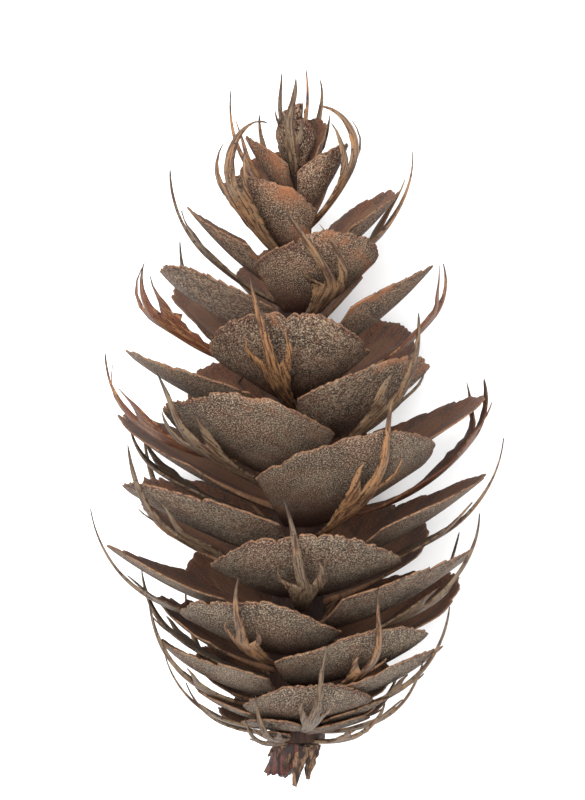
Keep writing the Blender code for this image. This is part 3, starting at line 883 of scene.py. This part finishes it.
def scale_skin(settings):
    """Weathered grey-brown outside with painted shade toward each root, red-brown inside, with a
    thin tan rim.
    """
    r = Recipe("scale_skin")
    grain = r.own("grain", "Vector")
    along = r.own("along")
    from_rim = r.own("from_rim")
    inside = r.between(r.own("inside"), 0.35, 0.65)
    patches = r.cloud(grain, 0.25, detail=4, swirl=0.5)
    fuzz = r.cloud(grain, 6.4, stretch=(1, 0.75, 1), detail=2, rough=0.6, swirl=0.3)
    flecks = r.cloud(grain, 7.4, stretch=(1, 0.8, 1), detail=1, rough=0.8)
    streaks = r.cloud(grain, 1.0, stretch=(2.2, 0.22, 1), detail=4, swirl=0.6)
    blots = r.cloud(grain, 0.16, detail=3)
    high = r.own("high")
    grey = r.mix(r.between(r.plus(high, blots), 1.05, 1.45), settings.grey, settings.warm)
    colour = r.mix(r.between(patches, 0.35, 0.62), settings.dark, grey)
    colour = r.mix(r.times(r.between(streaks, 0.52, 0.70), 0.4), colour, settings.dark)
    colour = r.mix(r.times(r.between(blots, 0.52, 0.42), 0.35), colour, settings.red)
    colour = r.mix(r.times(r.between(fuzz, 0.51, 0.63), 0.9), colour, settings.pale)
    colour = r.mix(r.times(r.between(fuzz, 0.49, 0.36), 0.95), colour, settings.speck)
    colour = r.mix(r.times(r.between(flecks, 0.42, 0.34), 0.9), colour, settings.speck)
    spots = r.times(r.dots(grain, 1.25, 0.17), r.between(high, 0.55, 0.25))
    colour = r.mix(r.times(spots, 0.85), colour, settings.speck)
    # Painted shade: the outer face turns darker red-brown with dark specks toward its root, where
    # the scale below shades it. Near the rim the red-brown is the scale's own colour.
    painted_root_shade = r.between(r.plus(along, r.times(blots, 0.5)), 0.90, 0.35)
    near_rim = r.between(r.plus(from_rim, r.times(patches, 3.0)), 2.4, 1.2)
    root_shade_and_red_rim = r.most(r.times(painted_root_shade, 0.95), r.times(near_rim, 0.7))
    colour = r.mix(root_shade_and_red_rim, colour, r.mix(r.between(fuzz, 0.45, 0.6), settings.speck, settings.red))
    by_rim = r.times(r.between(from_rim, 4.0, 0.5), r.between(blots, 0.55, 0.66))
    by_rim = r.times(by_rim, r.between(high, 0.35, 0.85))
    colour = r.mix(r.times(by_rim, 0.75), colour, settings.orange)
    inner_streaks = r.cloud(grain, 0.7, stretch=(1.6, 0.2, 1), detail=4, swirl=0.8)
    inner_shade = r.times(r.between(inner_streaks, 0.42, 0.60), 0.85)
    inner = r.mix(inner_shade, settings.inner, settings.dark)
    inner = r.mix(r.times(r.between(fuzz, 0.5, 0.36), 0.7), inner, settings.speck)
    inner = r.mix(r.times(r.between(fuzz, 0.54, 0.68), 0.5), inner, settings.orange)
    wing = r.between(r.plus(r.own("wing"), r.times(patches, 0.3)), 0.20, 0.60)
    inner = r.mix(r.times(wing, 0.30), inner, settings.wing)
    colour = r.mix(inside, colour, inner)
    rim_line = r.between(r.plus(from_rim, r.times(streaks, 0.6)), 0.46, 0.26)
    rim_line = r.times(rim_line, r.between(streaks, 0.36, 0.52))
    colour = r.mix(r.times(rim_line, 0.65), colour, settings.rim)
    roughness = r.plus(0.66, r.times(fuzz, 0.25))
    height = r.plus(r.times(fuzz, 0.6), streaks)
    return r.finish(colour, roughness, height, SCALE_DEPTH)


def bract_fibre(settings):
    """Tan to grey fibres along the bract, with small dark dots and dead tips."""
    r = Recipe("bract_fibre")
    grain = r.own("grain", "Vector")
    fibres = r.cloud(grain, 1.0, stretch=(4.5, 0.35, 1), detail=4, swirl=0.2)
    fine = r.cloud(grain, 3.0, stretch=(1, 0.5, 1), detail=3)
    patches = r.cloud(grain, 0.35, detail=3)
    worn = r.between(r.plus(r.own("tone"), patches), 0.75, 1.35)
    light = r.mix(worn, settings.tan, settings.grey)
    colour = r.mix(r.between(fibres, 0.40, 0.56), settings.brown, light)
    standing = r.times(r.between(r.own("tone"), -0.2, -0.6), r.between(fibres, 0.64, 0.5))
    colour = r.mix(standing, colour, settings.heart)
    colour = r.mix(r.times(r.between(fine, 0.46, 0.34), 0.6), colour, settings.dot)
    colour = r.mix(r.dots(grain, 1.7, 0.24), colour, settings.dot)
    tips = r.between(r.plus(r.own("along"), r.times(patches, 0.2)), 0.98, 1.10)
    colour = r.mix(r.times(tips, 0.8), colour, settings.dot)
    return r.finish(colour, BRACT_ROUGHNESS, fibres, BRACT_DEPTH)


def plain_wood(name, light, dark, roughness):
    """Rough wood or bark with streaks along the cone."""
    r = Recipe(name)
    place = r.place()
    streaks = r.cloud(place, WOOD_STREAKS, stretch=(1, 0.2, 1), detail=5, swirl=0.5)
    grit = r.cloud(place, WOOD_GRIT, detail=3)
    colour = r.mix(r.between(streaks, 0.4, 0.62), dark, light)
    colour = r.mix(r.times(r.between(grit, 0.45, 0.32), 0.7), colour, dark)
    return r.finish(colour, roughness, streaks, WOOD_DEPTH)


def paper(colour):
    """The plain floor, with a trace of tooth."""
    r = Recipe("floor_paper")
    tooth = r.cloud(r.place(), PAPER_GRAIN, detail=3)
    soft = tuple(PAPER_DIPS * value for value in colour)
    colour = r.mix(tooth, soft, tuple(colour))
    return r.finish(colour, PAPER_ROUGHNESS, tooth, PAPER_DEPTH)


def add_lamp(name, power, size, place, target):
    lamp = bpy.data.lights.new(name, "AREA")
    lamp.energy = power
    lamp.size = size
    obj = bpy.data.objects.new(name, lamp)
    obj.location = place
    obj.rotation_mode = "QUATERNION"
    obj.rotation_quaternion = (Vector(target) - Vector(place)).to_track_quat("-Z", "Y")
    bpy.context.scene.collection.objects.link(obj)


def add_camera():
    """Looks down on the lying cone, so that it stands upright in the picture."""
    width, height = FRAME_PIXELS
    centre = Vector(
        (
            AXIS_SIDE + (width / 2 - AXIS_PIXEL) * PIXEL,
            BASE_AT + (BASE_PIXEL - height / 2) * PIXEL,
            AXIS_LEVEL,
        )
    )
    back = Vector((0, math.sin(CAMERA_TILT), math.cos(CAMERA_TILT)))
    right = Vector((0, 1, 0)).cross(back).normalized()
    camera = bpy.data.cameras.new("camera")
    camera.sensor_width = SENSOR
    camera.lens = SENSOR * CAMERA_AWAY / (height * PIXEL)
    obj = bpy.data.objects.new("camera", camera)
    obj.rotation_mode = "QUATERNION"
    obj.rotation_quaternion = Matrix((right, back.cross(right), back)).transposed().to_quaternion()
    obj.location = centre + back * CAMERA_AWAY
    bpy.context.scene.collection.objects.link(obj)
    bpy.context.scene.camera = obj


class FIRCONE_OT_axis(bpy.types.Operator):
    """Turn the axis that everything grows from"""

    bl_idname = "fircone.axis"
    bl_label = "Axis"

    def execute(self, context):
        colour = context.scene.fircone_stalk.axis
        turn_axis(plain_wood("axis_wood_and_gap_shade", colour, AXIS_DARK, BARK_ROUGHNESS))
        return {"FINISHED"}


class FIRCONE_OT_scales(bpy.types.Operator):
    """Grow the woody scales of the spiral"""

    bl_idname = "fircone.scales"
    bl_label = "Scales"

    def execute(self, context):
        settings = context.scene.fircone_scales
        mat = scale_skin(settings)
        for index in range(SCALE_COUNT):
            grow_scale(index, settings, mat)
        return {"FINISHED"}


class FIRCONE_OT_bracts(bpy.types.Operator):
    """Grow the three-pointed bract under each scale"""

    bl_idname = "fircone.bracts"
    bl_label = "Bracts"

    def execute(self, context):
        settings = context.scene.fircone_bracts
        mat = bract_fibre(settings)
        for index in range(SCALE_COUNT):
            grow_bract(index, settings, mat)
        return {"FINISHED"}


class FIRCONE_OT_stalk(bpy.types.Operator):
    """Break the stalk off and tear its bark"""

    bl_idname = "fircone.stalk"
    bl_label = "Stalk"

    def execute(self, context):
        settings = context.scene.fircone_stalk
        wood = plain_wood("stalk_wood", settings.wood, WOOD_DARK, WOOD_ROUGHNESS)
        bark = plain_wood("stalk_bark", settings.bark, BARK_DARK, BARK_ROUGHNESS)
        top = AXIS_FOOT - STALK_GAP
        break_stub(wood, top)
        draw = random.Random(SEED)
        for number, strip in enumerate(STRIPS):
            shift = draw.uniform(0, STRIP_SHIFT)
            tear_strip(f"stalk_strip_{number}", bark, top, strip, shift)
        return {"FINISHED"}


class FIRCONE_OT_stage(bpy.types.Operator):
    """Set the floor, the light and the camera"""

    bl_idname = "fircone.stage"
    bl_label = "Stage"

    def execute(self, context):
        settings = context.scene.fircone_stage
        floor = bmesh.new()
        bmesh.ops.create_grid(floor, x_segments=1, y_segments=1, size=FLOOR_HALF)
        bmesh.ops.translate(floor, verts=floor.verts, vec=(0, 0, -FLOOR_BELOW))
        mesh = bpy.data.meshes.new("floor")
        floor.to_mesh(mesh)
        floor.free()
        mesh.materials.append(paper(settings.floor))
        obj = bpy.data.objects.new("floor", mesh)
        context.scene.collection.objects.link(obj)
        world = bpy.data.worlds.new("sky")
        world.use_nodes = True
        sky = world.node_tree.nodes["Background"]
        sky.inputs["Color"].default_value = (1, 1, 1, 1)
        sky.inputs["Strength"].default_value = settings.sky
        context.scene.world = world
        middle = (0, 0, AXIS_LEVEL)
        add_lamp("key_light", settings.key, KEY_SIZE, KEY_PLACE, middle)
        add_lamp("fill_light", settings.fill, FILL_SIZE, FILL_PLACE, middle)
        add_camera()
        context.scene.view_settings.view_transform = "Standard"
        return {"FINISHED"}


class FIRCONE_PT_panel(bpy.types.Panel):
    """Lists the pieces of the cone and its stage"""

    bl_idname = "FIRCONE_PT_panel"
    bl_label = "Fir cone"
    bl_space_type = "VIEW_3D"
    bl_region_type = "UI"
    bl_category = "Fir cone"

    def draw(self, context):
        for operator, settings in STEPS:
            self.layout.operator(operator.bl_idname)
            if settings is None:
                continue
            group = getattr(context.scene, settings)
            box = self.layout.box()
            for name in group.__annotations__:
                box.prop(group, name)


GROUPS = {
    "fircone_scales": ScaleSettings,
    "fircone_bracts": BractSettings,
    "fircone_stalk": StalkSettings,
    "fircone_stage": StageSettings,
}
STEPS = (
    (FIRCONE_OT_axis, None),
    (FIRCONE_OT_scales, "fircone_scales"),
    (FIRCONE_OT_bracts, "fircone_bracts"),
    (FIRCONE_OT_stalk, "fircone_stalk"),
    (FIRCONE_OT_stage, "fircone_stage"),
)


def register():
    for name, group in GROUPS.items():
        bpy.utils.register_class(group)
        setattr(bpy.types.Scene, name, PointerProperty(type=group))
    for operator, _ in STEPS:
        bpy.utils.register_class(operator)
    bpy.utils.register_class(FIRCONE_PT_panel)


def unregister():
    bpy.utils.unregister_class(FIRCONE_PT_panel)
    for operator, _ in reversed(STEPS):
        bpy.utils.unregister_class(operator)
    for name, group in reversed(GROUPS.items()):
        delattr(bpy.types.Scene, name)
        bpy.utils.unregister_class(group)


def main():
    register()
    bpy.ops.fircone.axis()
    bpy.ops.fircone.scales()
    bpy.ops.fircone.bracts()
    bpy.ops.fircone.stalk()
    bpy.ops.fircone.stage()


if __name__ == "__main__":
    main()
